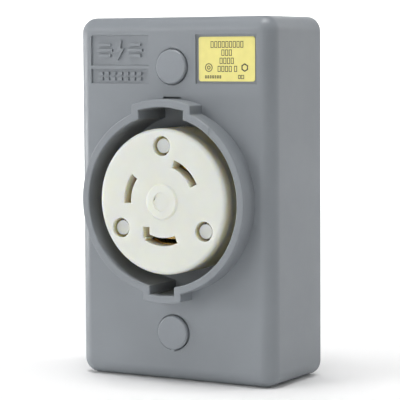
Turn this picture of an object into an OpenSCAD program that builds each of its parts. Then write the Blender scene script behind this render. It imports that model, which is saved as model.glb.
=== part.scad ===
// Surface-mounted 30 A locking power socket in a shrouded moulded enclosure.
//
// Every module is drawn in one working frame: x to the right, y up, z out of the
// wall towards the user, with z = 0 on the wall. to_row() then turns that frame so
// that the finished part has +Z up and its front facing -Y.

/* [Enclosure] */
// Width of the housing
body_w = 70.6; // [66:0.1:90]
// Height of the housing
body_h = 114.3; // [106:0.1:150]
// Distance from the wall to the front face
body_d = 32.5; // [30:0.1:48]
// Thickness of the housing's walls
wall = 3; // [2.4:0.1:3.6]
// Radius of the housing's outer edges and corners
edge_r = 4.8; // [3.8:0.1:7]
// Centre distance of the two cover screws
screw_pitch = 83.3; // [80:0.1:90]

/* [Shroud] */
// Radius of the bore that the mating shroud enters
shroud_bore_r = 26.7; // [25:0.1:28]
// Wall of the shroud and of its keyways
shroud_wall = 2.4; // [1.8:0.1:3]
// How far the shroud stands out of the front face
shroud_out = 7.2; // [4:0.1:12]
// How far the well goes in behind the front face
well_depth = 9; // [6:0.1:12]
// Thickness of the well's floor
floor_t = 2.2; // [1.6:0.1:3]
// Width of the upper keyway
key_top_w = 15.9; // [10:0.1:18]
// Width of the lower keyway
key_bottom_w = 8.8; // [6:0.1:14]
// How far the keyways reach out past the bore
key_rise = 2.6; // [1.6:0.1:3]

/* [Receptacle] */
// Outer radius of the nose
nose_r = 22.75; // [22:0.05:23.5]
// How far the nose stands out of the front face
nose_out = 6.7; // [5:0.1:7]
// Thickness of the contact face
face_t = 4.8; // [4:0.1:5.4]
// Radius of the middle of the blade slots
slot_r = 12.75; // [12:0.05:13.2]
// Width of the blade slots
slot_w = 2; // [1.6:0.1:2.4]
// Extra width of the blade slots toward the middle
slot_ease = 0.5; // [0:0.05:0.7]
// Radius of the circle of the three posts
post_circle_r = 17.3; // [17:0.05:17.6]
// Radius of the posts that show in the contact face
post_r = 2.9; // [2.5:0.05:3.1]
// Radius of the rear body
base_r = 22.3; // [21.6:0.1:23]
// Thickness of the mounting strap
strap_t = 1.3; // [1:0.1:2]

/* [Wiring] */
// Distance from the wall to the contact tails
tail_z = 10.5; // [9.8:0.1:12]
// Thickness of the contact metal
brass_t = 0.8; // [0.7:0.05:1.1]
// Radius of the circle of the three terminals
terminal_circle_r = 17.8; // [17.6:0.1:18.2]
// Side of the square clamp plates
clamp_side = 7.6; // [6.5:0.1:8]
// Shank radius of the terminal screws
terminal_screw_r = 2.05; // [1.5:0.05:2.1]
// Height of the terminal screws' heads
terminal_head_h = 2.4; // [1.8:0.1:2.6]

/* [Rear plate] */
// Thickness of the rear plate
plate_t = 2.8; // [2:0.1:4]
// Radius of the wall screw holes
wall_hole_r = 2.4; // [2:0.1:3]
// Distance between the wall screw holes across the plate
wall_hole_w = 46; // [36:0.5:48]
// Distance between the wall screw holes up the plate
wall_hole_h = 84; // [76:0.5:88]
// Radius of the rear knockout
rear_knockout_r = 14.2; // [11:0.1:16]
// Radius of the knockouts in the top and the bottom wall
end_knockout_r = 11.1; // [8:0.1:11.3]

/* [Caps and screws] */
// Radius of the screw caps
cap_r = 5.4; // [4.9:0.1:6.5]
// How far the caps stand out of the front face
cap_out = 1; // [0.4:0.1:2]
// Length of the caps' split stems
cap_stem = 3.6; // [2.5:0.1:4]
// Shank radius of the cover screws
cover_screw_r = 1.6; // [1.3:0.05:1.8]
// Head radius of the cover screws
cover_head_r = 3.4; // [3:0.1:3.6]

/* [Front markings] */
// Width of the marking fields
field_w = 21.4; // [18:0.1:22]
// Height of the label field
field_h = 15.1; // [12:0.1:16]
// Distance from the housing's sides to the fields
field_side = 5.4; // [5:0.1:6.2]
// Distance from the housing's top to the fields
field_top = 5.6; // [5:0.1:7]
// Depth of the fields
field_depth = 0.6; // [0.3:0.1:1]
// Width of the rating label
label_w = 19.7; // [16:0.1:20.5]
// Height of the rating label
label_h = 13.7; // [11:0.1:14.4]

/* [Hidden] */
$fn = 96;

// Clearances
fit = 0.3;        // round a moulding that sits in another
running = 0.05;   // radially round a screw in its thread
seat_gap = 0.05;  // under a cap's rim
overshoot = 1;    // how far a cut runs past the face that it opens

// Levels along z, from the wall outwards
well_z = body_d - well_depth;
strap_front = well_z - floor_t;
strap_back = strap_front - strap_t;
rim_z = body_d + shroud_out;
face_z = body_d + nose_out;
face_back = face_z - face_t;
base_back = tail_z - 5;
insulator_t = 0.5;
inner_r = edge_r - wall + 0.6;
field_x = body_w / 2 - field_side - field_w / 2;
field_y = body_h / 2 - field_top - field_h / 2;

// Shroud
shroud_r = shroud_bore_r + shroud_wall;
key_r = shroud_bore_r + key_rise;
hump_r = key_r + shroud_wall;
nose_hole_r = nose_r + 0.25;

// Cover screws
cap_recess_r = cap_r + 0.2;
cap_seat_z = body_d - 1;
post_outer_r = cap_recess_r + 1.4;
stem_hole_r = cap_recess_r - 1.2;
stem_r = stem_hole_r - 0.15;
stem_wall = 1.05;
head_seat_z = strap_front + 3.2;
washer_t = 0.6;
cover_head_h = 2;
pillar_r = 5.2;
insert_r = 2.9;
insert_h = 8;
cover_screw_end = plate_t + 5;

// Receptacle
nose_wall = 3.5;
nose_cavity_r = nose_r - nose_wall;
boss_r = 5.6;
boss_h = 0.4;
dish_r = 2.9;
dish_depth = 0.25;
post_recess = 1.2;
post_hole_r = post_r + 0.2;
post_tip_r = post_r - 0.6;
post_angles = [90, 210, 330];
assembly_r = 1.5;
assembly_head_r = 2.7;
assembly_head_h = 1.8;
assembly_end = face_back - 4;

// Blade slots: [start angle, end angle] in the contact face
neutral_arc = [25, 71];
line_arc = [142.5, 183.5];
ground_arc = [242.5, 293.5];
ground_leg_top = 8;
ground_leg_w = 2.3;
ground_leg_x = -6.9;

// Contacts: a pair of leaves on either side of each slot
leaf_top = face_back - 0.9;
leaf_gap = 1.5;
leaf_in_r = slot_r - leaf_gap / 2 - brass_t;
leaf_out_r = slot_r + leaf_gap / 2 + brass_t;
spring_t = 0.4;
chamber_in_r = leaf_in_r - spring_t - 0.15;
chamber_out_r = leaf_out_r + spring_t + 0.15;
spring_low = leaf_top - 8;
spring_high = leaf_top - 2;
terminal_angles = [30, 150, 270];
tail_side = clamp_side + 0.6;
tail_in_r = leaf_out_r - brass_t;
nut_side = 6.6;
nut_h = 3;
clamp_t = 1.5;
pocket_w = tail_side + 0.8;

// Strap, and the neck of the rear body that passes through its window
strap_w = 19;
strap_end_y = screw_pitch / 2 + 6.5;
strap_disc_r = nose_hole_r + 1.9;
neck_r = chamber_out_r + 0.9;
strap_window_r = neck_r + fit;
strap_eye_r = post_r + 0.7;

// Rear plate
plate_w = body_w - 2 * (wall + fit);
plate_h = body_h - 2 * (wall + fit);
plate_corner_r = inner_r - fit;

// Turns the working frame into the part's frame.
module to_row() {
    rotate([90, 0, 0]) children();
}

// Extrudes a flat shape from level z0 to level z1.
module slab(z0, z1) {
    translate([0, 0, z0]) linear_extrude(z1 - z0) children();
}

// A post or a bore on the point p, from z0 to z1.
module rod(r, z0, z1, p = [0, 0]) {
    translate([p[0], p[1], z0]) cylinder(r = r, h = z1 - z0);
}

// A rectangle about the origin with round corners.
module round_rect(w, h, r) {
    union() {
        square([w - 2 * r, h], center = true);
        square([w, h - 2 * r], center = true);
        for (sx = [-1, 1], sy = [-1, 1])
            translate([sx * (w / 2 - r), sy * (h / 2 - r)]) circle(r);
    }
}

// A sector between two radii and two angles. The angles are less than 180 apart.
module sector(r0, r1, a0, a1) {
    far = 2 * r1;
    mid = (a0 + a1) / 2;
    intersection() {
        difference() {
            circle(r1);
            circle(r0);
        }
        polygon([
            [0, 0],
            far * [cos(a0), sin(a0)],
            far * [cos(mid), sin(mid)],
            far * [cos(a1), sin(a1)]
        ]);
    }
}

// The point at radius r and angle a.
function at(r, a) = [r * cos(a), r * sin(a)];

// Both cover screw positions.
module at_cover_screws() {
    for (s = [-1, 1]) translate([0, s * screw_pitch / 2, 0]) children();
}

// All three post positions.
module at_posts() {
    for (a = post_angles) rotate([0, 0, a]) translate([post_circle_r, 0, 0]) children();
}

// A quarter round along an edge of length l, filling the corner of radius r.
module edge_fill(l, r) {
    rotate([90, 0, 90])
        linear_extrude(l, center = true)
            intersection() {
                circle(r);
                square(r);
            }
}

// A box of width w, height h and depth d with every edge round but those at the back.
module soft_box(w, h, d, r) {
    inner_w = w - 2 * r;
    inner_h = h - 2 * r;
    union() {
        slab(0, d - r) round_rect(w, h, r);
        translate([0, 0, d - r]) {
            translate([-inner_w / 2, -inner_h / 2, 0]) cube([inner_w, inner_h, r]);
            for (s = [0, 180]) rotate([0, 0, s]) {
                translate([0, inner_h / 2, 0]) edge_fill(inner_w, r);
            }
            for (s = [-90, 90]) rotate([0, 0, s]) {
                translate([0, inner_w / 2, 0]) edge_fill(inner_h, r);
            }
            for (k = [0:3]) {
                sx = (k == 0 || k == 3) ? 1 : -1;
                sy = k < 2 ? 1 : -1;
                translate([sx * inner_w / 2, sy * inner_h / 2, 0])
                    rotate([0, 0, 90 * k])
                        rotate_extrude(angle = 90)
                            intersection() {
                                circle(r);
                                square(r);
                            }
            }
        }
    }
}

// The outline of the shroud, or with the smaller sizes that of its bore.
module keyed_circle(r, key_reach, top_w, bottom_w) {
    union() {
        circle(r);
        intersection() {
            circle(key_reach);
            union() {
                translate([-top_w / 2, 0]) square([top_w, key_reach]);
                translate([-bottom_w / 2, -key_reach]) square([bottom_w, key_reach]);
            }
        }
    }
}

// A flash sign, h high.
module flash(h) {
    polygon([
        [0.10 * h, 0.50 * h], [-0.24 * h, -0.06 * h], [-0.04 * h, -0.06 * h],
        [-0.12 * h, -0.50 * h], [0.24 * h, 0.08 * h], [0.04 * h, 0.08 * h]
    ]);
}

// What stands in the two left fields: a flash between bars, and rows of dashes.
module left_field_marks() {
    flash_h = 6.6;
    flash_drop = 4.65;
    bar_h = 0.9;
    bar_w = 5.4;
    bar_taper = 1.2;
    bar_x = 5.6;
    dash_w = 1.5;
    dash_h = 1;
    dash_pitch = 2.4;
    dash_rise = 2.25;
    row_pitch = 1.7;
    upper_y = field_y + field_h / 2 - flash_drop;
    lower_y = field_y - field_h / 2 + dash_rise;
    translate([-field_x, upper_y]) {
        flash(flash_h);
        for (side = [-1, 1], k = [-1:1])
            translate([side * bar_x, k * row_pitch])
                square([bar_w - abs(k) * bar_taper, bar_h], center = true);
    }
    for (row = [-0.5, 0.5], k = [-3:3])
        translate([-field_x + k * dash_pitch, lower_y + row * row_pitch])
            square([dash_w, dash_h], center = true);
}

// The sunk label field and the two sunk fields beside it.
module housing_fields() {
    divider_h = 1.1;
    divider_drop = 2.5;
    slab(body_d - field_depth, body_d + overshoot) {
        translate([field_x, field_y]) square([field_w, field_h], center = true);
        difference() {
            translate([-field_x, field_y]) square([field_w, field_h], center = true);
            // the bar between the two left fields
            translate([-field_x, field_y - divider_drop])
                square([field_w, divider_h], center = true);
            left_field_marks();
        }
    }
}

// A ring groove that marks a knockout in the end wall on side s.
module end_knockout(s) {
    groove_w = 0.8;
    web = 1.2;
    groove_depth = wall - web;
    centre_z = plate_t + fit + end_knockout_r;
    translate([0, s * (body_h / 2 - groove_depth), centre_z])
        rotate([-s * 90, 0, 0])
            difference() {
                cylinder(r = end_knockout_r, h = groove_depth + overshoot);
                translate([0, 0, -overshoot])
                    cylinder(r = end_knockout_r - groove_w, h = groove_depth + 3 * overshoot);
            }
}

// Ribs that stop the rear plate, on the side walls and the end walls.
module plate_stops() {
    rib = 2;
    root = 0.4;
    depth = 1.4 + root;
    rib_top = 14;
    side_y = 34;
    end_x = 22;
    z0 = plate_t + 0.1;
    for (sx = [-1, 1], sy = [-1, 1])
        translate([sx * (body_w / 2 - wall - depth / 2 + root), sy * side_y, 0])
            slab(z0, rib_top) square([depth, rib], center = true);
    for (sx = [-1, 1], sy = [-1, 1])
        translate([sx * end_x, sy * (body_h / 2 - wall - depth / 2 + root), 0])
            slab(z0, rib_top) square([rib, depth], center = true);
}

// Housing: the box, the keyed shroud with its well, and the two screw posts.
module housing() {
    slit_w = 6.3;
    slit_h = 0.6;
    slit_depth = 1.8;
    witness_x = 17.2;
    witness_w = 0.2;
    witness_depth = 0.2;
    color([0.53, 0.55, 0.58]) to_row() difference() {
        union() {
            difference() {
                soft_box(body_w, body_h, body_d, edge_r);
                translate([0, 0, -overshoot])
                    soft_box(body_w - 2 * wall, body_h - 2 * wall,
                             body_d - wall + overshoot, inner_r);
            }
            slab(strap_front, rim_z)
                keyed_circle(shroud_r, hump_r, key_top_w + 2 * shroud_wall + 0.4,
                             key_bottom_w + 2 * shroud_wall);
            at_cover_screws() rod(post_outer_r, strap_front, body_d - wall / 2);
            plate_stops();
        }
        slab(well_z, rim_z + overshoot)
            keyed_circle(shroud_bore_r, key_r, key_top_w, key_bottom_w);
        rod(nose_hole_r, strap_front - overshoot, well_z + overshoot);
        at_cover_screws() {
            rod(cap_recess_r, cap_seat_z, body_d + overshoot);
            rod(stem_hole_r, head_seat_z, body_d);
            rod(cover_screw_r + 0.4, strap_front - overshoot, head_seat_z + overshoot);
        }
        housing_fields();
        slab(body_d - slit_depth, body_d + overshoot)
            translate([-slit_w / 2, hump_r + 0.05]) square([slit_w, slit_h]);
        slab(rim_z - witness_depth, rim_z + overshoot)
            translate([witness_x, shroud_r / 2])
                square([witness_w, shroud_r / 2]);
        for (s = [-1, 1]) end_knockout(s);
    }
}

// Rear plate: closes the housing, carries the pillars and is screwed to the wall.
module rear_plate() {
    knockout_groove = 0.9;
    knockout_web = 1.1;
    rim_h = 1.6;
    color([0.47, 0.49, 0.52]) to_row() difference() {
        union() {
            slab(0, plate_t) round_rect(plate_w, plate_h, plate_corner_r);
            at_cover_screws() rod(pillar_r, 0, strap_back);
            for (sx = [-1, 1], sy = [-1, 1])
                rod(wall_hole_r + 1.8, 0, plate_t + rim_h,
                    [sx * wall_hole_w / 2, sy * wall_hole_h / 2]);
        }
        at_cover_screws() {
            rod(insert_r, strap_back - insert_h, strap_back + overshoot);
            rod(cover_screw_r + 0.3, plate_t + 1, strap_back);
        }
        for (sx = [-1, 1], sy = [-1, 1])
            rod(wall_hole_r, -overshoot, plate_t + rim_h + overshoot,
                [sx * wall_hole_w / 2, sy * wall_hole_h / 2]);
        slab(knockout_web, plate_t + overshoot) difference() {
            circle(rear_knockout_r);
            circle(rear_knockout_r - knockout_groove);
        }
    }
}

// Rear insulator: a fibre sheet between the terminals and the rear plate.
module rear_insulator() {
    sheet_w = 50;
    sheet_h = screw_pitch - 2 * pillar_r - 4;
    color([0.20, 0.19, 0.17]) to_row()
        slab(plate_t, plate_t + insulator_t) round_rect(sheet_w, sheet_h, 4);
}

// Threaded inserts: brass bushes in the pillars.
module threaded_inserts() {
    color([0.80, 0.65, 0.30]) to_row() at_cover_screws() difference() {
        union() {
            rod(insert_r, strap_back - insert_h, strap_back - insert_h + 3);
            rod(insert_r - 0.35, strap_back - insert_h, strap_back);
            rod(insert_r, strap_back - 3, strap_back);
        }
        rod(cover_screw_r + running, strap_back - insert_h - overshoot,
            strap_back + overshoot);
    }
}

// The outline of the strap's window, or with a gap that of the neck inside it.
module window(gap) {
    difference() {
        circle(strap_window_r - gap);
        at_posts() circle(strap_eye_r + gap);
    }
}

// Mounting strap: holds the receptacle between its two halves and to the housing.
module mounting_strap() {
    ear_slot = 6.4;
    ear_slot_r = 2.1;
    color([0.74, 0.75, 0.76]) to_row() slab(strap_back, strap_front) difference() {
        union() {
            round_rect(strap_w, 2 * strap_end_y, 3);
            circle(strap_disc_r);
        }
        window(0);
        at_cover_screws() union() {
            square([ear_slot - 2 * ear_slot_r, 2 * ear_slot_r], center = true);
            for (s = [-1, 1])
                translate([s * (ear_slot / 2 - ear_slot_r), 0]) circle(ear_slot_r);
        }
        at_posts() circle(assembly_r + 0.35);
    }
}

// Nose shell: the white sleeve, its step for the face and the three posts.
module nose_shell() {
    color([0.93, 0.93, 0.90]) to_row() difference() {
        union() {
            slab(strap_front, face_back) {
                difference() {
                    circle(nose_r);
                    circle(nose_cavity_r);
                }
                at_posts() circle(post_r);
            }
            slab(face_back, face_z - post_recess) at_posts() circle(post_tip_r);
        }
        at_posts() rod(assembly_r + running, strap_front - overshoot, assembly_end);
    }
}

// The flat outlines of the three blade slots.
module blade_slots() {
    r0 = slot_r - slot_w / 2 - slot_ease;
    r1 = slot_r + slot_w / 2;
    leg_low = -sqrt(pow(r1 - 0.5, 2) - pow(ground_leg_x, 2));
    sector(r0, r1, neutral_arc[0], neutral_arc[1]);
    sector(r0, r1, line_arc[0], line_arc[1]);
    sector(r0, r1, ground_arc[0], ground_arc[1]);
    translate([ground_leg_x, leg_low])
        square([ground_leg_w, -ground_leg_top - leg_low]);
}

// Contact face: the disc with the blade slots, post holes and middle boss.
module contact_face() {
    color([0.95, 0.95, 0.91]) to_row() difference() {
        union() {
            rod(nose_r, face_back, face_z);
            translate([0, 0, face_z]) cylinder(r1 = boss_r, r2 = boss_r - 0.5, h = boss_h);
        }
        rod(dish_r, face_z + boss_h - dish_depth, face_z + boss_h + overshoot);
        slab(face_back - overshoot, face_z + overshoot) blade_slots();
        at_posts() rod(post_hole_r, face_back - overshoot, face_z + overshoot);
    }
}

// Receptacle base: the dark rear body with a chamber for each contact and terminal.
module receptacle_base() {
    pocket_in = tail_in_r - fit;
    pocket_top = tail_z + 6;
    chamber_ends = 5;
    color([0.16, 0.15, 0.15]) to_row() difference() {
        union() {
            rod(base_r, base_back, strap_back);
            slab(strap_back - overshoot, face_back - fit) window(fit);
        }
        slab(tail_z, face_back)
            for (arc = [neutral_arc, line_arc, ground_arc])
                sector(chamber_in_r, chamber_out_r,
                       arc[0] - chamber_ends, arc[1] + chamber_ends);
        // terminal pockets, open to the rear and to the side
        for (a = terminal_angles) rotate([0, 0, a])
            translate([pocket_in, -pocket_w / 2, base_back - overshoot])
                cube([base_r, pocket_w, pocket_top - base_back + overshoot]);
        // channel for the bonding strip
        translate([-pocket_w / 2, -base_r - overshoot, pocket_top - overshoot])
            cube([pocket_w, base_r + overshoot - neck_r - fit,
                  strap_back - pocket_top + 2 * overshoot]);
        at_posts() {
            rod(assembly_r + 0.2, base_back - overshoot, strap_back + overshoot);
            rod(assembly_head_r + 0.2, base_back - overshoot,
                base_back + assembly_head_h + 0.2);
        }
    }
}

// One contact: two leaves, the web under them, and the tail at the terminal.
module contact(arc, terminal_angle) {
    web_top = tail_z + brass_t;
    to_row() difference() {
        union() {
            slab(tail_z, leaf_top) {
                sector(leaf_in_r, leaf_in_r + brass_t, arc[0], arc[1]);
                sector(leaf_out_r - brass_t, leaf_out_r, arc[0], arc[1]);
            }
            slab(tail_z, web_top) {
                sector(leaf_in_r, leaf_out_r, arc[0], arc[1]);
                rotate([0, 0, terminal_angle])
                    translate([tail_in_r, -tail_side / 2])
                        square([terminal_circle_r + tail_side / 2 - tail_in_r, tail_side]);
            }
        }
        rod(terminal_screw_r + 0.15, tail_z - overshoot, web_top + overshoot,
            at(terminal_circle_r, terminal_angle));
    }
}

module neutral_contact() {
    color([0.83, 0.68, 0.32]) contact(neutral_arc, terminal_angles[0]);
}

module line_contact() {
    color([0.83, 0.68, 0.32]) contact(line_arc, terminal_angles[1]);
}

module ground_contact() {
    color([0.83, 0.68, 0.32]) contact(ground_arc, terminal_angles[2]);
}

// Contact springs: steel hairpins that press each pair of leaves together.
module contact_springs() {
    pad = 0.02;
    end_gap = 1.2;
    color([0.60, 0.61, 0.63]) to_row() slab(spring_low, spring_high)
        for (arc = [neutral_arc, line_arc, ground_arc]) {
            inner = leaf_in_r - pad;
            outer = leaf_out_r + pad;
            sector(inner - spring_t, inner, arc[0] + 8, arc[1] + end_gap + 2);
            sector(outer, outer + spring_t, arc[0] + 8, arc[1] + end_gap + 2);
            sector(inner - spring_t, outer + spring_t, arc[1] + end_gap,
                   arc[1] + end_gap + 2);
        }
}

// Bonding strip: an angle from the ground contact's tail up to the strap.
module bonding_strip() {
    strip_w = 4;
    strip_t = 0.6;
    side_x = nut_side / 2 + 0.15;
    outer_y = terminal_circle_r + strip_w / 2 + 0.8;
    web_top = tail_z + brass_t;
    color([0.72, 0.55, 0.25]) to_row() union() {
        translate([side_x, -outer_y, web_top])
            cube([strip_t, strip_w, strap_back - web_top]);
        translate([-side_x, -outer_y, strap_back - strip_t])
            cube([2 * side_x + strip_t, strip_w, strip_t]);
    }
}

// Terminal nuts: square nuts that stand on the contact tails.
module terminal_nuts() {
    nut_low = tail_z + brass_t;
    color([0.70, 0.71, 0.72]) to_row() for (a = terminal_angles)
        difference() {
            rotate([0, 0, a])
                translate([terminal_circle_r - nut_side / 2, -nut_side / 2, nut_low])
                    cube([nut_side, nut_side, nut_h]);
            rod(terminal_screw_r + running, nut_low - overshoot, nut_low + nut_h + overshoot,
                at(terminal_circle_r, a));
        }
}

// One clamp plate: lies under the tail and presses the wire against it.
module clamp_plate(a) {
    lug = 0.7;
    color([0.70, 0.71, 0.72]) to_row() difference() {
        rotate([0, 0, a]) {
            translate([terminal_circle_r - clamp_side / 2, -clamp_side / 2, tail_z - clamp_t])
                cube([clamp_side, clamp_side, clamp_t - running]);
            for (s = [-1, 1])
                translate([terminal_circle_r - clamp_side / 2,
                           s * (clamp_side / 2 - lug / 2) - lug / 2,
                           tail_z - clamp_t - lug])
                    cube([clamp_side, lug, lug + clamp_t / 2]);
        }
        rod(terminal_screw_r + running, tail_z - clamp_t - overshoot, tail_z + overshoot,
            at(terminal_circle_r, a));
    }
}

// One terminal screw: slotted head under the clamp plate, shank up through the nut.
module terminal_screw(a, tint) {
    head_r = 2.9;
    head_top = tail_z - clamp_t - 0.02;
    slot_t = 0.9;
    color(tint) to_row() translate([at(terminal_circle_r, a)[0], at(terminal_circle_r, a)[1], 0])
        difference() {
            union() {
                rod(head_r, head_top - terminal_head_h, head_top);
                rod(terminal_screw_r, head_top - 0.5, tail_z + brass_t + nut_h + 0.8);
            }
            rotate([0, 0, a + 35])
                translate([-head_r - overshoot, -slot_t / 2, head_top - terminal_head_h - overshoot])
                    cube([2 * head_r + 2 * overshoot, slot_t, overshoot + 1.1]);
        }
}

module neutral_clamp_plate() {
    clamp_plate(terminal_angles[0]);
}

module line_clamp_plate() {
    clamp_plate(terminal_angles[1]);
}

module ground_clamp_plate() {
    clamp_plate(terminal_angles[2]);
}

module neutral_terminal_screw() {
    terminal_screw(terminal_angles[0], [0.80, 0.80, 0.80]);
}

module line_terminal_screw() {
    terminal_screw(terminal_angles[1], [0.80, 0.62, 0.25]);
}

module ground_terminal_screw() {
    terminal_screw(terminal_angles[2], [0.20, 0.50, 0.28]);
}

// Assembly screws: pull the base, the strap and the nose together.
module assembly_screws() {
    slot_t = 0.8;
    color([0.62, 0.63, 0.65]) to_row() at_posts() difference() {
        union() {
            rod(assembly_head_r, base_back, base_back + assembly_head_h);
            rod(assembly_r, base_back, assembly_end - 0.5);
        }
        translate([-assembly_head_r - overshoot, -slot_t / 2, base_back - overshoot])
            cube([2 * assembly_head_r + 2 * overshoot, slot_t, overshoot + 0.9]);
    }
}

// Cover screws: hold the housing and the strap to the rear plate's inserts.
module cover_screws() {
    slot_t = 1;
    head_z = head_seat_z + washer_t;
    color([0.78, 0.79, 0.80]) to_row() at_cover_screws() difference() {
        union() {
            rod(cover_head_r, head_z, head_z + cover_head_h);
            rod(cover_screw_r, cover_screw_end, head_z + 1);
        }
        translate([-cover_head_r - overshoot, -slot_t / 2, head_z + cover_head_h - 1])
            cube([2 * cover_head_r + 2 * overshoot, slot_t, overshoot + 1]);
    }
}

// Cover screw washers: spread the load of the heads on the posts.
module cover_screw_washers() {
    color([0.66, 0.67, 0.68]) to_row() at_cover_screws() difference() {
        rod(stem_hole_r - 0.2, head_seat_z, head_seat_z + washer_t);
        rod(cover_screw_r + 0.2, head_seat_z - overshoot, head_seat_z + washer_t + overshoot);
    }
}

// A screw cap with a split stem, and with a pry nib if it has one.
module screw_cap(has_nib) {
    stem_split = 1.2;
    nib_w = 1.3;
    nib_out = 0.5;
    under = cap_seat_z + seat_gap;
    top = body_d + cap_out;
    soft = 0.4;
    union() {
        rod(cap_r, under, top - soft);
        translate([0, 0, top - soft]) cylinder(r1 = cap_r, r2 = cap_r - soft, h = soft);
        if (has_nib)
            translate([-nib_w / 2, -cap_r - nib_out, body_d + seat_gap])
                cube([nib_w, nib_out + 0.5, cap_out - soft - seat_gap]);
        difference() {
            rod(stem_r, under - cap_stem, under + 0.5);
            rod(stem_r - stem_wall, under - cap_stem - overshoot, under);
            for (a = [0, 90]) rotate([0, 0, a])
                translate([-stem_r - overshoot, -stem_split / 2, under - cap_stem - overshoot])
                    cube([2 * stem_r + 2 * overshoot, stem_split, cap_stem + overshoot]);
        }
    }
}

module upper_screw_cap() {
    color([0.56, 0.58, 0.61]) to_row()
        translate([0, screw_pitch / 2, 0]) screw_cap(false);
}

module lower_screw_cap() {
    color([0.56, 0.58, 0.61]) to_row()
        translate([0, -screw_pitch / 2, 0]) screw_cap(true);
}

// Rating label: a thin yellow sticker on the floor of the right field.
module rating_label() {
    label_t = 0.2;
    color([0.93, 0.88, 0.45]) to_row()
        slab(body_d - field_depth, body_d - field_depth + label_t)
            translate([field_x + 0.1, field_y]) round_rect(label_w, label_h, 0.8);
}

housing();
rear_plate();
rear_insulator();
threaded_inserts();
mounting_strap();
nose_shell();
contact_face();
receptacle_base();
neutral_contact();
line_contact();
ground_contact();
contact_springs();
bonding_strip();
terminal_nuts();
neutral_clamp_plate();
line_clamp_plate();
ground_clamp_plate();
neutral_terminal_screw();
line_terminal_screw();
ground_terminal_screw();
assembly_screws();
cover_screws();
cover_screw_washers();
upper_screw_cap();
lower_screw_cap();
rating_label();
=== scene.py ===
"""Surface-mounted locking power outlet, dressed on its measured frame.

Every shape stands in the frame's own place, in metres: X to the right, Z up and
Y into the wall. The box stands in front of the wall, so its front looks along -Y.
"""

import math

import bmesh
import bpy
from bpy.props import FloatProperty, FloatVectorProperty, IntProperty, PointerProperty
from mathutils import Matrix, Vector


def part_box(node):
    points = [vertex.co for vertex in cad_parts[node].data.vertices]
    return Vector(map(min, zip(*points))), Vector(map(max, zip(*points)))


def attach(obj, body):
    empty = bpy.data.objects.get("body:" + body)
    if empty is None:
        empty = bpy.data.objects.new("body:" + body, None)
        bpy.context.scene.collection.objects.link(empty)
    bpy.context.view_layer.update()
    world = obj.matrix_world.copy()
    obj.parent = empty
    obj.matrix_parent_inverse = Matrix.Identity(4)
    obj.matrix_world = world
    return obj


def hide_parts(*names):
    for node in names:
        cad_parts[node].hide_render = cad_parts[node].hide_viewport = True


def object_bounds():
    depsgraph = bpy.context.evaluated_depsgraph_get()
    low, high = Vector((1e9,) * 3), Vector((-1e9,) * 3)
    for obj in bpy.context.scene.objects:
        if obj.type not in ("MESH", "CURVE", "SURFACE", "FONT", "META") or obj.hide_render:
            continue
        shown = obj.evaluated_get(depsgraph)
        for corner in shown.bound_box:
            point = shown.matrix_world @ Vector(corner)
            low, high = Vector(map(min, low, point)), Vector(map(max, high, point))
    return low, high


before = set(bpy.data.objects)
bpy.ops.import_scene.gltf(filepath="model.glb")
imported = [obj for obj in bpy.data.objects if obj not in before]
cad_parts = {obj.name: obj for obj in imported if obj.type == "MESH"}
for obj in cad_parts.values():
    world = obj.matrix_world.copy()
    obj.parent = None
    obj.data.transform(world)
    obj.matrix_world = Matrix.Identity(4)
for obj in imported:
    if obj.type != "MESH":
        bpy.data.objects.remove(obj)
cad_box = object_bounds()

bl_info = {
    "name": "Locking Power Outlet",
    "version": (1, 0, 0),
    "blender": (4, 5, 0),
    "location": "3D View > Sidebar > Outlet",
    "description": "Builds the pieces and finishes of a surface-mounted locking outlet",
    "category": "Add Mesh",
}

MM = 0.001
NEAR = 0.1 * MM             # places closer than this count as the same place
MERGE = 0.004 * MM          # vertices closer than this are one
FLAT = math.radians(0.6)    # faces that meet at less than this are one flat face
SMOOTH = math.radians(33)   # edges sharper than this keep a crease

HOUSING_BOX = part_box("housing")
LABEL_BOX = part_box("rating_label")
FACE_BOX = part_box("contact_face")
COLLAR_OUT = 7.2 * MM       # the collar's rim stands this far out of the front face
FIELD_DEPTH = 0.8 * MM      # the sunk fields lie less than this behind the front face
CAP_ROW = 7 * MM            # the cap recesses lie within this of the middle line
CAP_HEIGHT = 35 * MM        # and farther than this from the nose's middle
WITNESS_X = 17.3 * MM       # where a fine mould line crosses the collar's rim
WITNESS_REACH = 0.3 * MM    # the mould line's edges lie within this of its middle
BOSS_OUT = 0.4 * MM         # the middle boss stands this far out of the contact face
BOSS_REACH = 6 * MM         # the boss and its dish lie within this of the nose's middle
RIM_STEPS = 5               # segments across the contact face's large outer rounding
PRINT_STROKE = 0.2 * MM     # line width of the label's blocks
PRINT_GAP = 0.3 * MM        # gap between two blocks of a row


# ---------------------------------------------------------------- settings


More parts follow.
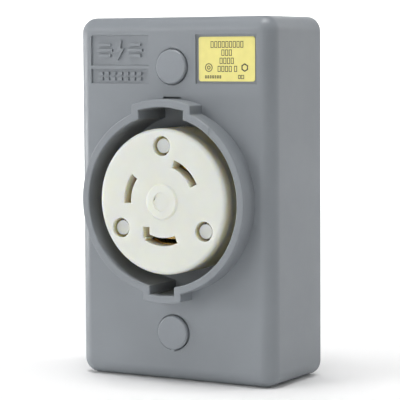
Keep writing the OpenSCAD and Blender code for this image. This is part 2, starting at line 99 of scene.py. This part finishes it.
class OutletSizes(bpy.types.PropertyGroup):
    """Sizes of the dressed shapes."""

    housing_round: FloatProperty(
        name="Housing edge rounding", default=0.35 * MM, unit="LENGTH", precision=5,
        description="Radius worn and moulded on the housing's edges")
    cap_round: FloatProperty(
        name="Cap edge rounding", default=0.35 * MM, unit="LENGTH", precision=5,
        description="Radius on the edges of the screw caps")
    nose_round: FloatProperty(
        name="Nylon edge rounding", default=0.18 * MM, unit="LENGTH", precision=5,
        description="Radius on the edges of the nylon sleeve and face")
    boss_round: FloatProperty(
        name="Boss edge rounding", default=0.06 * MM, unit="LENGTH", precision=5,
        description="Radius on the edges of the low middle boss and its dish")
    plate_round: FloatProperty(
        name="Rear plate edge rounding", default=0.18 * MM, unit="LENGTH", precision=5,
        description="Radius on the edges of the rear plate")
    base_round: FloatProperty(
        name="Rear body edge rounding", default=0.18 * MM, unit="LENGTH", precision=5,
        description="Radius on the edges of the receptacle's rear body")
    label_round: FloatProperty(
        name="Label edge rounding", default=0.04 * MM, unit="LENGTH", precision=5,
        description="Radius on the edges of the label film")
    metal_round: FloatProperty(
        name="Metal edge rounding", default=0.08 * MM, unit="LENGTH", precision=5,
        description="Radius on the edges of stamped and turned metal")
    nose_rim_round: FloatProperty(
        name="Nose rim rounding", default=1.4 * MM, unit="LENGTH", precision=5,
        description="Radius on the outer rim of the contact face")
    field_round: FloatProperty(
        name="Sunk field rounding", default=0.07 * MM, unit="LENGTH", precision=5,
        description="Radius on the small edges of the sunk fields and grooves")
    print_rise: FloatProperty(
        name="Print thickness", default=0.03 * MM, unit="LENGTH", precision=5,
        description="How far the label's print stands on its film")
    round_steps: IntProperty(
        name="Rounding steps", default=3, min=1, max=6,
        description="Segments across each rounded edge")


class OutletFinish(bpy.types.PropertyGroup):
    """Colours of the finishes, as linear light."""

    housing: FloatVectorProperty(
        name="Housing", subtype="COLOR", size=4, default=(0.240, 0.260, 0.281, 1),
        description="Moulded grey of the housing")
    caps: FloatVectorProperty(
        name="Screw caps", subtype="COLOR", size=4, default=(0.256, 0.277, 0.301, 1),
        description="Moulded grey of the two screw caps")
    plate: FloatVectorProperty(
        name="Rear plate", subtype="COLOR", size=4, default=(0.190, 0.205, 0.220, 1),
        description="Grey of the rear plate")
    nylon: FloatVectorProperty(
        name="Nylon", subtype="COLOR", size=4, default=(0.740, 0.755, 0.700, 1),
        description="Natural white of the sleeve and the contact face")
    # Painted shade and glow: a warmer tone painted on the nylon where it goes down into the box,
    # standing in for the collar's shade and light glowing through the nylon.
    nylon_painted_well_shade: FloatVectorProperty(
        name="Nylon painted shade in depth", subtype="COLOR", size=4, default=(0.930, 0.790, 0.480, 1),
        description="Warmer tone of the nylon where it goes down into the box")
    film: FloatVectorProperty(
        name="Label film", subtype="COLOR", size=4, default=(0.860, 0.780, 0.260, 1),
        description="Yellow of the rating label")
    ink: FloatVectorProperty(
        name="Ink", subtype="COLOR", size=4, default=(0.035, 0.034, 0.030, 1),
        description="Dark print on the label")


class OutletStage(bpy.types.PropertyGroup):
    """Camera and light."""

    lens: FloatProperty(
        name="Lens", default=167.18, min=20, max=400, subtype="DISTANCE_CAMERA",
        description="Focal length of the camera")
    key_power: FloatProperty(
        name="Key light", default=5.2, min=0, subtype="POWER",
        description="Power of the large soft light at the front left")
    near_power: FloatProperty(
        name="Near light", default=1.2, min=0, subtype="POWER",
        description="Power of the small light low on the left")
    low_power: FloatProperty(
        name="Low light", default=0.22, min=0, subtype="POWER",
        description="Power of the small light near the floor in front")
    top_power: FloatProperty(
        name="Top light", default=11.0, min=0, subtype="POWER",
        description="Power of the soft light overhead")
    back_power: FloatProperty(
        name="Backdrop lights", default=12.8, min=0, subtype="POWER",
        description="Power of the right light on the backdrop; the left is stronger")
    surround: FloatProperty(
        name="Surround", default=0.01, min=0,
        description="Strength of the even light all round")


# ---------------------------------------------------------------- mesh helpers


def merged_copy(node, whole_faces=True):
    """A bmesh of a frame node, joined up, and with whole flat faces if asked."""
    work = bmesh.new()
    work.from_mesh(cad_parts[node].data)
    bmesh.ops.remove_doubles(work, verts=work.verts, dist=MERGE)
    if whole_faces:
        bmesh.ops.dissolve_limit(
            work, angle_limit=FLAT, use_dissolve_boundaries=False,
            verts=work.verts, edges=work.edges, delimit=set())
    return work


def shade(work):
    """Smooth shading, with creases along the sharp edges."""
    for face in work.faces:
        face.smooth = True
    for edge in work.edges:
        edge.smooth = len(edge.link_faces) == 2 and edge.calc_face_angle(0) < SMOOTH


def to_object(work, name, material):
    """Turns a bmesh into an object at the origin, with one material."""
    mesh = bpy.data.meshes.new(name)
    shade(work)
    work.to_mesh(mesh)
    work.free()
    mesh.materials.append(material)
    piece = bpy.data.objects.new(name, mesh)
    bpy.context.scene.collection.objects.link(piece)
    return piece


def round_edges(piece, width, steps, weighed=False):
    """Rounds the creases of a piece, all alike or by their weights."""
    bevel = piece.modifiers.new("edges", "BEVEL")
    bevel.limit_method = "WEIGHT" if weighed else "ANGLE"
    bevel.angle_limit = SMOOTH
    bevel.width = width
    bevel.segments = steps
    bevel.profile = 0.5
    bevel.use_clamp_overlap = not weighed
    even = piece.modifiers.new("even", "WEIGHTED_NORMAL")
    even.weight = 90
    even.keep_sharp = True


def weigh_edges(work, radius_at, widest):
    """Gives each crease its share of the widest rounding, by where it lies."""
    layer = work.edges.layers.float.new("bevel_weight_edge")
    for edge in work.edges:
        if len(edge.link_faces) != 2 or edge.calc_face_angle(0) < SMOOTH:
            continue
        ends = edge.verts[0].co, edge.verts[1].co
        edge[layer] = min(1.0, radius_at((ends[0] + ends[1]) / 2) / widest)


def dressed_copy(node, name, body, material, width, steps,
                 radius_at=None, work=None):
    """A rounded, dressed piece that stands for a frame node."""
    work = work or merged_copy(node)
    if radius_at:
        weigh_edges(work, radius_at, width)
    piece = to_object(work, name, material)
    round_edges(piece, width, steps, weighed=radius_at is not None)
    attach(piece, body)
    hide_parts(node)


def round_disc_rim(work, front, radius, rounding, steps):
    """Rounds the front rim of a disc that faces -Y, and fills its face again."""
    face = [f for f in work.faces
            if all(abs(v.co.y - front) < MERGE for v in f.verts)]
    borders = [e for e in work.edges
               if 0 < sum(f in face for f in e.link_faces) < len(e.link_faces)]
    rim = [e for e in borders
           if all(math.hypot(v.co.x, v.co.z) > radius - MERGE for v in e.verts)]
    verts = [v for v in work.verts if any(e in rim for e in v.link_edges)]
    if not rim or len(verts) != len(rim):
        raise RuntimeError("the rim of the disc isn't one closed loop")
    openings = [e for e in borders if e not in rim]
    bmesh.ops.delete(work, geom=face, context="FACES_KEEP_BOUNDARY")
    bmesh.ops.translate(work, verts=verts, vec=(0, rounding, 0))
    reach, depth = radius, rounding
    for step in range(1, steps + 1):
        turn = math.pi / 2 * step / steps
        grown = bmesh.ops.extrude_edge_only(work, edges=rim)["geom"]
        verts = [v for v in grown if isinstance(v, bmesh.types.BMVert)]
        rim = [e for e in grown if isinstance(e, bmesh.types.BMEdge)
               and all(v in verts for v in e.verts)]
        inward = radius - rounding * (1 - math.cos(turn))
        behind = rounding * (1 - math.sin(turn))
        bmesh.ops.scale(work, verts=verts, vec=(inward / reach, 1, inward / reach))
        bmesh.ops.translate(work, verts=verts, vec=(0, behind - depth, 0))
        reach, depth = inward, behind
    bmesh.ops.triangle_fill(
        work, use_beauty=True, normal=(0, -1, 0), edges=openings + rim)
    bmesh.ops.recalc_face_normals(work, faces=work.faces)


def dress_node(node, material, width=None, steps=2):
    """Gives a frame node its finish, and rounds its edges where a width is given."""
    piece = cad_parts[node]
    if not piece.material_slots:
        raise RuntimeError("no material slot on " + node)
    for slot in piece.material_slots:
        slot.material = material
    if width:
        weld = piece.modifiers.new("weld", "WELD")
        weld.merge_threshold = MERGE
        flat = piece.modifiers.new("flat", "DECIMATE")
        flat.decimate_type = "DISSOLVE"
        flat.angle_limit = FLAT
        round_edges(piece, width, steps)


# ---------------------------------------------------------------- finishes


class Finish:
    """A procedural material on the piece's own coordinates."""

    def __init__(self, name, colour, roughness, metallic=0.0, specular=0.5):
        self.material = bpy.data.materials.new(name)
        self.material.use_nodes = True
        self.tree = self.material.node_tree
        self.shader = self.tree.nodes["Principled BSDF"]
        self.place = self.tree.nodes.new("ShaderNodeTexCoord").outputs["Object"]
        self.material.diffuse_color = tuple(colour)
        self.set("Base Color", tuple(colour))
        self.set("Roughness", roughness)
        self.set("Metallic", metallic)
        self.set("Specular IOR Level", specular)

    def set(self, socket, value):
        """Sets one of the shader's own values."""
        self.shader.inputs[socket].default_value = value

    def join(self, source, target):
        """Links an output to an input."""
        self.tree.links.new(source, target)

    def stretched(self, scale):
        """The piece's coordinates, stretched by a scale along each axis."""
        mapping = self.tree.nodes.new("ShaderNodeMapping")
        mapping.inputs["Scale"].default_value = scale
        self.join(self.place, mapping.inputs["Vector"])
        return mapping.outputs["Vector"]

    def noise(self, scale, detail=2.0, rough=0.5, place=None):
        """Cloudy noise from 0 to 1, at so many clouds to a metre."""
        node = self.tree.nodes.new("ShaderNodeTexNoise")
        node.inputs["Scale"].default_value = scale
        node.inputs["Detail"].default_value = detail
        node.inputs["Roughness"].default_value = rough
        self.join(place or self.place, node.inputs["Vector"])
        return node.outputs["Fac"]

    def cells(self, scale):
        """Distance to the nearest cell's middle, at so many cells to a metre."""
        node = self.tree.nodes.new("ShaderNodeTexVoronoi")
        node.inputs["Scale"].default_value = scale
        self.join(self.place, node.inputs["Vector"])
        return node.outputs["Distance"]

    def ranged(self, source, low, high, at_low=0.3, at_high=0.7):
        """A source that runs from at_low to at_high, brought to low to high."""
        node = self.tree.nodes.new("ShaderNodeMapRange")
        node.inputs["From Min"].default_value = at_low
        node.inputs["From Max"].default_value = at_high
        node.inputs["To Min"].default_value = low
        node.inputs["To Max"].default_value = high
        self.join(source, node.inputs["Value"])
        return node.outputs["Result"]

    def blend(self, factor, first, second):
        """A colour between two, by a factor. Either may be a colour or a socket."""
        node = self.tree.nodes.new("ShaderNodeMix")
        node.data_type = "RGBA"
        self.join(factor, node.inputs["Factor"])
        for key, colour in (("A", first), ("B", second)):
            socket = [s for s in node.inputs if s.name == key and s.type == "RGBA"][0]
            if isinstance(colour, bpy.types.NodeSocket):
                self.join(colour, socket)
            else:
                socket.default_value = tuple(colour)
        return [s for s in node.outputs if s.type == "RGBA"][0]

    def axis(self, letter):
        """One coordinate of the place on the piece, in metres."""
        node = self.tree.nodes.new("ShaderNodeSeparateXYZ")
        self.join(self.place, node.inputs["Vector"])
        return node.outputs[letter]

    def bump(self, height, depth):
        """Raises the surface by a height from 0 to 1, times a depth in metres."""
        node = self.tree.nodes.new("ShaderNodeBump")
        node.inputs["Strength"].default_value = 1.0
        node.inputs["Distance"].default_value = depth
        self.join(height, node.inputs["Height"])
        self.feed("Normal", node.outputs["Normal"])

    def feed(self, socket, source):
        """Drives one of the shader's inputs from a pattern."""
        self.join(source, self.shader.inputs[socket])


def toned(colour, factor):
    """A colour made lighter or darker."""
    return tuple(min(1.0, c * factor) for c in tuple(colour)[:3]) + (1.0,)


def moulded_plastic(name, colour, roughness=0.42):
    """Satin moulded plastic: fine spark texture, slow drift of tone and gloss."""
    grain = 0.012 * MM
    finish = Finish(name, colour, roughness, specular=0.45)
    drift = finish.noise(42, 3.0)
    tone = finish.blend(finish.ranged(drift, 0, 1), toned(colour, 0.965), toned(colour, 1.035))
    speck = finish.noise(5200, 1.0)
    tone = finish.blend(finish.ranged(speck, 0, 0.5, 0.55, 0.8), tone, toned(colour, 0.90))
    finish.feed("Base Color", tone)
    gloss = finish.noise(160, 2.0)
    finish.feed("Roughness", finish.ranged(gloss, roughness - 0.035, roughness + 0.05))
    finish.bump(finish.noise(2600, 2.0), grain)
    return finish.material


def nylon_plastic(name, pale, painted_well_shade, depth_range):
    """Natural nylon: light goes into it, and a warmer tone painted on it down in the well stands
    in for the collar's shade and the light glowing through the nylon.
    """
    finish = Finish(name, pale, 0.36, specular=0.5)
    # Painted shade: this mask grows with depth into the well and blends the nylon towards the
    # warmer painted shade and glow.
    well_shade_mask = finish.ranged(finish.axis("Y"), 0, 1, depth_range[0], depth_range[1])
    cloud = finish.noise(150, 3.0)
    tone = finish.blend(finish.ranged(cloud, 0, 1), toned(pale, 0.97), pale)
    finish.feed("Base Color", finish.blend(well_shade_mask, tone, painted_well_shade))
    finish.set("Subsurface Weight", 0.85)
    finish.set("Subsurface Radius", (1.0, 0.85, 0.45))
    finish.set("Subsurface Scale", 6.0 * MM)
    finish.feed("Roughness", finish.ranged(finish.noise(420, 2.0), 0.32, 0.42))
    finish.bump(finish.noise(1900, 2.0), 0.008 * MM)
    return finish.material


def phenolic(name):
    """Brown moulded phenolic with a faint mottle."""
    colour = (0.260, 0.190, 0.085, 1)
    finish = Finish(name, colour, 0.38)
    mottle = finish.ranged(finish.noise(900, 4.0, 0.6), 0, 1)
    paler = (0.34, 0.26, 0.13, 1)
    finish.feed("Base Color", finish.blend(mottle, colour, paler))
    finish.bump(finish.noise(3000, 2.0), 0.008 * MM)
    return finish.material


def stamped_metal(name, colour, dull, roughness):
    """Sheet or turned metal: fine drawn lines and duller patches."""
    brushed = (1, 1, 18)
    finish = Finish(name, colour, roughness, metallic=1.0)
    patch = finish.ranged(finish.noise(260, 4.0, 0.6), 0, 1)
    lines = finish.noise(1800, 2.0, 0.5, finish.stretched(brushed))
    tone = finish.blend(patch, colour, dull)
    finish.feed("Base Color", finish.blend(finish.ranged(lines, 0, 0.35), tone, toned(dull, 0.8)))
    finish.feed("Roughness", finish.ranged(patch, roughness - 0.07, roughness + 0.1, 0, 1))
    finish.bump(lines, 0.006 * MM)
    return finish.material


def zinc_plate(name):
    """Bright zinc on steel, with its fine crystal mottle."""
    colour = (0.62, 0.63, 0.64, 1)
    finish = Finish(name, colour, 0.3, metallic=1.0)
    crystals = finish.ranged(finish.cells(900), 0, 1, 0.1, 0.6)
    between = (0.50, 0.51, 0.50, 1)
    finish.feed("Base Color", finish.blend(crystals, colour, between))
    finish.feed("Roughness", finish.ranged(crystals, 0.24, 0.4, 0, 1))
    finish.bump(finish.noise(2400, 2.0), 0.006 * MM)
    return finish.material


def painted_screw(name):
    """Green lacquer on a screw head, thin in scattered patches."""
    colour = (0.020, 0.190, 0.065, 1)
    finish = Finish(name, colour, 0.33, specular=0.6)
    finish.set("Coat Weight", 0.4)
    finish.set("Coat Roughness", 0.15)
    worn = finish.ranged(finish.noise(700, 4.0, 0.65), 0, 0.6, 0.56, 0.72)
    bared = (0.30, 0.28, 0.16, 1)
    finish.feed("Base Color", finish.blend(worn, colour, bared))
    finish.bump(finish.noise(1500, 3.0), 0.01 * MM)
    return finish.material


def fibre_sheet(name):
    """Grey-black vulcanised fibre with short fibres in the plane of the sheet."""
    colour = (0.030, 0.028, 0.026, 1)
    finish = Finish(name, colour, 0.75, specular=0.3)
    strands = finish.noise(2200, 4.0, 0.7, finish.stretched((1, 1, 0.12)))
    paler = (0.075, 0.07, 0.06, 1)
    finish.feed("Base Color", finish.blend(finish.ranged(strands, 0, 1), colour, paler))
    finish.bump(strands, 0.03 * MM)
    return finish.material


def printed_film(name, colour):
    """Matt polyester film with a faint mottle in its flood coat."""
    finish = Finish(name, colour, 0.38, specular=0.5)
    mottle = finish.ranged(finish.noise(380, 3.0), 0, 1)
    finish.feed("Base Color", finish.blend(mottle, toned(colour, 0.97), toned(colour, 1.02)))
    finish.feed("Roughness", finish.ranged(finish.noise(900, 2.0), 0.33, 0.45))
    finish.bump(finish.noise(240, 2.0), 0.01 * MM)
    return finish.material


def printing_ink(name, colour):
    """Screen-printed ink, a little thin in places."""
    finish = Finish(name, colour, 0.5, specular=0.4)
    thin = finish.ranged(finish.noise(2600, 2.0), 0, 0.5, 0.5, 0.75)
    showing_film = (0.16, 0.15, 0.08, 1)
    finish.feed("Base Color", finish.blend(thin, colour, showing_film))
    return finish.material


# ---------------------------------------------------------------- operators


class OUTLET_OT_stage(bpy.types.Operator):
    """Sets the pale floor, the soft lights and the camera."""

    bl_idname = "outlet.stage"
    bl_label = "Stage"

    def execute(self, context):
        stage = context.scene.outlet_stage
        self.floor(cad_box[0].z)
        outlet = (0, -0.02, 0)
        left_share = 1.9
        lamps = (
            ("key", (-0.75, -1.15, 0.55), outlet, 0.7, stage.key_power),
            ("near_left", (-0.60, -0.20, -0.01), outlet, 0.09, stage.near_power),
            ("low_front", (0.02, -0.62, -0.03), outlet, 0.05, stage.low_power),
            ("top", (0.0, -0.15, 1.1), outlet, 0.6, stage.top_power),
            ("back_right", (0.9, 0.55, 0.9), (0.36, 2.0, 0.1), 0.6, stage.back_power),
            ("back_left", (-0.9, 0.6, 0.9), (-1.1, 1.8, 0.0), 0.6,
             left_share * stage.back_power),
        )
        for name, place, target, size, power in lamps:
            self.light(name, Vector(place), Vector(target), size, power)
        self.surround(stage.surround)
        self.camera(context, stage.lens)
        return {"FINISHED"}

    def floor(self, low):
        """A pale floor whose rim turns up all round, so that no edge shows."""
        work = bmesh.new()
        flat, turn, height, sides = 1.6, 0.5, 1.4, 64
        rim = [(0.0, 0.0), (flat, 0.0)]
        rim += [(flat + turn * math.sin(a), turn * (1 - math.cos(a)))
                for a in [math.radians(15 * k) for k in range(1, 7)]]
        rim += [(flat + turn, height)]
        points = [work.verts.new((x, 0, low + z)) for x, z in rim]
        edges = [work.edges.new(pair) for pair in zip(points, points[1:])]
        bmesh.ops.spin(
            work, geom=points + edges, cent=(0, 0, 0), axis=(0, 0, 1),
            angle=2 * math.pi, steps=sides, use_merge=True)
        bmesh.ops.remove_doubles(work, verts=work.verts, dist=0.5 * MM)
        bmesh.ops.recalc_face_normals(work, faces=work.faces)
        darker, lighter = (0.87, 0.87, 0.87, 1), (0.90, 0.90, 0.90, 1)
        finish = Finish("studio_floor", (0.88, 0.88, 0.88, 1), 0.7, specular=0.2)
        cloud = finish.ranged(finish.noise(3, 2.0), 0, 1)
        finish.feed("Base Color", finish.blend(cloud, darker, lighter))
        floor = to_object(work, "studio_floor", finish.material)
        lowest = min(floor.data.polygons, key=lambda face: face.center.z)
        if lowest.normal.z < 0:
            floor.data.flip_normals()

    def light(self, name, place, target, size, power):
        """A square soft light that faces a target."""
        lamp = bpy.data.lights.new(name, "AREA")
        lamp.shape = "SQUARE"
        lamp.size = size
        lamp.energy = power
        holder = bpy.data.objects.new(name, lamp)
        holder.location = place
        aim = target - place
        holder.rotation_euler = aim.to_track_quat("-Z", "Y").to_euler()
        bpy.context.scene.collection.objects.link(holder)

    def surround(self, strength):
        """An even white light from all round."""
        world = bpy.data.worlds.new("surround")
        world.use_nodes = True
        ground = world.node_tree.nodes["Background"]
        ground.inputs["Color"].default_value = (1, 1, 1, 1)
        ground.inputs["Strength"].default_value = strength
        bpy.context.scene.world = world

    def camera(self, context, lens):
        """A camera a little above and to the right of the outlet's front."""
        data = bpy.data.cameras.new("camera")
        data.lens = lens
        data.sensor_width = 36
        data.clip_start = 0.01
        data.clip_end = 20
        holder = bpy.data.objects.new("camera", data)
        right = Vector((0.86537, 0.50109, -0.00558))
        up = Vector((-0.03561, 0.07260, 0.99673))
        back = Vector((0.49986, -0.86234, 0.08067))
        place = Vector((0.29759, -0.52893, 0.04691))
        turn = Matrix((right, up, back)).transposed()
        holder.matrix_world = Matrix.LocRotScale(place, turn.to_quaternion(), None)
        context.scene.collection.objects.link(holder)
        context.scene.camera = holder
        context.scene.view_settings.view_transform = "Standard"


class OUTLET_OT_housing(bpy.types.Operator):
    """Dresses the housing with its collar, keyed well and sunk fields."""

    bl_idname = "outlet.housing"
    bl_label = "Housing"

    def execute(self, context):
        sizes, finish = context.scene.outlet_sizes, context.scene.outlet_finish
        grey = moulded_plastic("housing_plastic", finish.housing)
        front = HOUSING_BOX[0].y + COLLAR_OUT

        def radius_at(point):
            by_a_cap = abs(point.x) < CAP_ROW and abs(point.z) > CAP_HEIGHT
            if point.y > front + FIELD_DEPTH:
                return sizes.field_round
            if point.y > front - NEAR:
                return sizes.housing_round if by_a_cap else sizes.field_round
            if abs(point.x - WITNESS_X) < WITNESS_REACH and point.z > 0:
                return 0
            return sizes.housing_round

        dressed_copy("housing", "dressed_housing", "enclosure",
                     grey, sizes.housing_round, sizes.round_steps, radius_at)
        return {"FINISHED"}


class OUTLET_OT_screw_caps(bpy.types.Operator):
    """Dresses the two press-in caps over the cover screws."""

    bl_idname = "outlet.screw_caps"
    bl_label = "Screw caps"

    def execute(self, context):
        sizes, finish = context.scene.outlet_sizes, context.scene.outlet_finish
        grey = moulded_plastic("cap_plastic", finish.caps, 0.40)
        for side in ("upper", "lower"):
            dressed_copy(side + "_screw_cap", "dressed_" + side + "_cap", side + "_cap",
                         grey, sizes.cap_round, sizes.round_steps)
        return {"FINISHED"}


class OUTLET_OT_receptacle(bpy.types.Operator):
    """Dresses the nylon sleeve and contact face, and finishes the rear body."""

    bl_idname = "outlet.receptacle"
    bl_label = "Nylon nose"

    def execute(self, context):
        sizes, finish = context.scene.outlet_sizes, context.scene.outlet_finish
        front = FACE_BOX[0].y + BOSS_OUT
        # Depths over which the painted shade and glow come in on the nylon.
        well_shade_depths = (front + 0.6 * MM, front + 7.0 * MM)
        white = nylon_plastic("white_nylon", finish.nylon, finish.nylon_painted_well_shade, well_shade_depths)
        outside, seam = FACE_BOX[1].x, FACE_BOX[1].y

        def radius_at(point):
            reach = math.hypot(point.x, point.z)
            if reach > outside - 3 * NEAR and abs(point.y - seam) < NEAR:
                return 0
            if reach < BOSS_REACH and point.y < front + NEAR:
                return sizes.boss_round
            return sizes.nose_round

        face = merged_copy("contact_face", whole_faces=False)
        round_disc_rim(face, front, outside, sizes.nose_rim_round, RIM_STEPS)
        dressed_copy("nose_shell", "dressed_sleeve", "enclosure",
                     white, sizes.nose_round, sizes.round_steps, radius_at)
        dressed_copy("contact_face", "dressed_face", "enclosure",
                     white, sizes.nose_round, sizes.round_steps, radius_at, face)
        dress_node("receptacle_base", phenolic("brown_phenolic"), sizes.base_round)
        return {"FINISHED"}


class OUTLET_OT_rating_label(bpy.types.Operator):
    """Dresses the rating label and prints its plain marks on it."""

    bl_idname = "outlet.rating_label"
    bl_label = "Rating label"

    def execute(self, context):
        sizes, finish = context.scene.outlet_sizes, context.scene.outlet_finish
        film = printed_film("label_film", finish.film)
        dressed_copy("rating_label", "dressed_label", "enclosure",
                     film, sizes.label_round, 1)
        ink = printing_ink("printing_ink", finish.ink)
        work = bmesh.new()
        self.marks(work, sizes.print_rise)
        bmesh.ops.recalc_face_normals(work, faces=work.faces)
        piece = to_object(work, "label_print", ink)
        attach(piece, "enclosure")
        return {"FINISHED"}

    def marks(self, work, rise):
        """Rows of open blocks, two rings in each other and a six-sided ring."""
        low, high = LABEL_BOX
        self.front = low.y
        self.rise = rise
        self.centre = (low + high) / 2
        rows = (  # across, up, block width, block height (mm), and how many
            (0.1, 4.45, 1.0, 2.0, 9),
            (0.0, 1.95, 1.0, 1.9, 3),
            (0.0, -0.55, 1.0, 1.9, 4),
            (-0.7, -3.0, 1.0, 1.8, 4),
            (3.1, -3.0, 1.0, 1.8, 1),
            (-4.8, -5.45, 0.55, 0.9, 7),
        )
        rings = (  # across, up, radius, line width (mm), and how many sides
            (-6.3, -2.6, 1.3, 0.24, 28),
            (-6.3, -2.6, 0.6, 0.24, 20),
            (6.3, -2.6, 1.3, 0.36, 6),
        )
        pair = (  # across, up, width and height (mm)
            (4.4, -5.45, 0.8, 1.2),
            (5.5, -5.45, 1.1, 1.2),
        )
        for across, up, wide, tall, count in rows:
            self.row(work, self.at(across, up), wide * MM, tall * MM, count)
        for across, up, radius, stroke, sides in rings:
            self.ring(work, self.at(across, up), radius * MM, sides, stroke * MM)
        for across, up, wide, tall in pair:
            self.block(work, self.at(across, up), wide * MM, tall * MM)

    def at(self, across, up):
        """A place on the film, in mm from its middle."""
        return Vector((self.centre.x + across * MM, self.front, self.centre.z + up * MM))

    def outline(self, work, verts, stroke):
        """Leaves a border of a flat face on the film, as thick as the print."""
        face = list({f for v in verts for f in v.link_faces})
        border = bmesh.ops.inset_region(
            work, faces=face, thickness=stroke,
            use_boundary=True, use_even_offset=True)["faces"]
        bmesh.ops.delete(work, geom=face, context="FACES_ONLY")
        out = bmesh.ops.extrude_face_region(work, geom=border)
        top = [v for v in out["geom"] if isinstance(v, bmesh.types.BMVert)]
        bmesh.ops.translate(work, verts=top, vec=(0, -self.rise, 0))

    def block(self, work, middle, wide, tall):
        """An open printed block, wide by tall, about a point."""
        upright = Matrix.Rotation(math.pi / 2, 4, "X")
        place = Matrix.Translation(middle) @ Matrix.Diagonal((wide, 1, tall, 1)) @ upright
        out = bmesh.ops.create_grid(
            work, x_segments=1, y_segments=1, size=0.5, matrix=place)
        self.outline(work, out["verts"], PRINT_STROKE)

    def row(self, work, middle, wide, tall, count):
        """A row of open blocks about a point."""
        pitch = wide + PRINT_GAP
        for k in range(count):
            along = (k - (count - 1) / 2) * pitch
            self.block(work, middle + Vector((along, 0, 0)), wide, tall)

    def ring(self, work, middle, radius, sides, stroke):
        """A printed ring, round or with a few sides."""
        place = Matrix.Translation(middle) @ Matrix.Rotation(math.pi / 2, 4, "X")
        out = bmesh.ops.create_circle(
            work, cap_ends=True, radius=radius, segments=sides, matrix=place)
        self.outline(work, out["verts"], stroke)


class OUTLET_OT_rear_plate(bpy.types.Operator):
    """Dresses the rear plate and the fibre sheet on it."""

    bl_idname = "outlet.rear_plate"
    bl_label = "Rear plate"

    def execute(self, context):
        sizes, finish = context.scene.outlet_sizes, context.scene.outlet_finish
        grey = moulded_plastic("plate_plastic", finish.plate, 0.5)
        dressed_copy("rear_plate", "dressed_rear_plate", "enclosure",
                     grey, sizes.plate_round, 2)
        dress_node("rear_insulator", fibre_sheet("fibre_sheet"))
        return {"FINISHED"}


class OUTLET_OT_contacts(bpy.types.Operator):
    """Finishes the brass contacts, their springs and the bonding strip."""

    bl_idname = "outlet.contacts"
    bl_label = "Contacts"

    def execute(self, context):
        sizes = context.scene.outlet_sizes
        brass = stamped_metal("brass", (0.72, 0.50, 0.19, 1), (0.42, 0.27, 0.10, 1), 0.28)
        steel = stamped_metal("spring_steel", (0.42, 0.42, 0.43, 1), (0.30, 0.30, 0.33, 1), 0.25)
        for node in ("neutral_contact", "line_contact", "ground_contact",
                     "bonding_strip", "terminal_nuts", "threaded_inserts"):
            dress_node(node, brass, sizes.metal_round)
        dress_node("contact_springs", steel, sizes.metal_round)
        return {"FINISHED"}


class OUTLET_OT_strap_and_screws(bpy.types.Operator):
    """Finishes the steel strap and the screws that hold the outlet together."""

    bl_idname = "outlet.strap_and_screws"
    bl_label = "Strap and screws"

    def execute(self, context):
        sizes = context.scene.outlet_sizes
        zinc = zinc_plate("zinc_steel")
        for node in ("mounting_strap", "assembly_screws", "cover_screws", "cover_screw_washers"):
            dress_node(node, zinc, sizes.metal_round)
        return {"FINISHED"}


class OUTLET_OT_terminals(bpy.types.Operator):
    """Finishes the clamp plates and the terminal screws."""

    bl_idname = "outlet.terminals"
    bl_label = "Terminals"

    def execute(self, context):
        sizes = context.scene.outlet_sizes
        steel = stamped_metal("clamp_steel", (0.56, 0.55, 0.52, 1), (0.42, 0.41, 0.38, 1), 0.3)
        silver = stamped_metal("bright_screw", (0.66, 0.66, 0.65, 1), (0.5, 0.5, 0.5, 1), 0.22)
        gold = stamped_metal("brass_screw", (0.76, 0.54, 0.20, 1), (0.5, 0.33, 0.12, 1), 0.22)
        green = painted_screw("green_screw")
        for name, head in (("neutral", silver), ("line", gold), ("ground", green)):
            dress_node(name + "_clamp_plate", steel, sizes.metal_round)
            dress_node(name + "_terminal_screw", head, sizes.metal_round)
        return {"FINISHED"}


class OUTLET_PT_outlet(bpy.types.Panel):
    """Lists the outlet's pieces and settings in the sidebar."""

    bl_idname = "OUTLET_PT_outlet"
    bl_label = "Locking Power Outlet"
    bl_space_type = "VIEW_3D"
    bl_region_type = "UI"
    bl_category = "Outlet"

    def draw(self, context):
        scene, layout = context.scene, self.layout
        for operator in OPERATORS:
            layout.operator(operator.bl_idname)
        for group in (scene.outlet_sizes, scene.outlet_finish, scene.outlet_stage):
            box = layout.box()
            for key in group.bl_rna.properties.keys():
                if key not in ("rna_type", "name"):
                    box.prop(group, key)


# ---------------------------------------------------------------- registration

SETTINGS = (
    ("outlet_sizes", OutletSizes),
    ("outlet_finish", OutletFinish),
    ("outlet_stage", OutletStage),
)
OPERATORS = (
    OUTLET_OT_stage,
    OUTLET_OT_housing,
    OUTLET_OT_screw_caps,
    OUTLET_OT_receptacle,
    OUTLET_OT_rating_label,
    OUTLET_OT_rear_plate,
    OUTLET_OT_contacts,
    OUTLET_OT_strap_and_screws,
    OUTLET_OT_terminals,
)


def register():
    """Registers the settings, the operators and the panel."""
    for name, group in SETTINGS:
        bpy.utils.register_class(group)
        setattr(bpy.types.Scene, name, PointerProperty(type=group))
    for operator in OPERATORS:
        bpy.utils.register_class(operator)
    bpy.utils.register_class(OUTLET_PT_outlet)


def unregister():
    """Takes away what register put there."""
    bpy.utils.unregister_class(OUTLET_PT_outlet)
    for operator in reversed(OPERATORS):
        bpy.utils.unregister_class(operator)
    for name, group in reversed(SETTINGS):
        delattr(bpy.types.Scene, name)
        bpy.utils.unregister_class(group)


def main():
    """Builds the whole outlet."""
    register()
    bpy.ops.outlet.stage()
    bpy.ops.outlet.housing()
    bpy.ops.outlet.screw_caps()
    bpy.ops.outlet.receptacle()
    bpy.ops.outlet.rating_label()
    bpy.ops.outlet.rear_plate()
    bpy.ops.outlet.contacts()
    bpy.ops.outlet.strap_and_screws()
    bpy.ops.outlet.terminals()


if __name__ == "__main__":
    main()
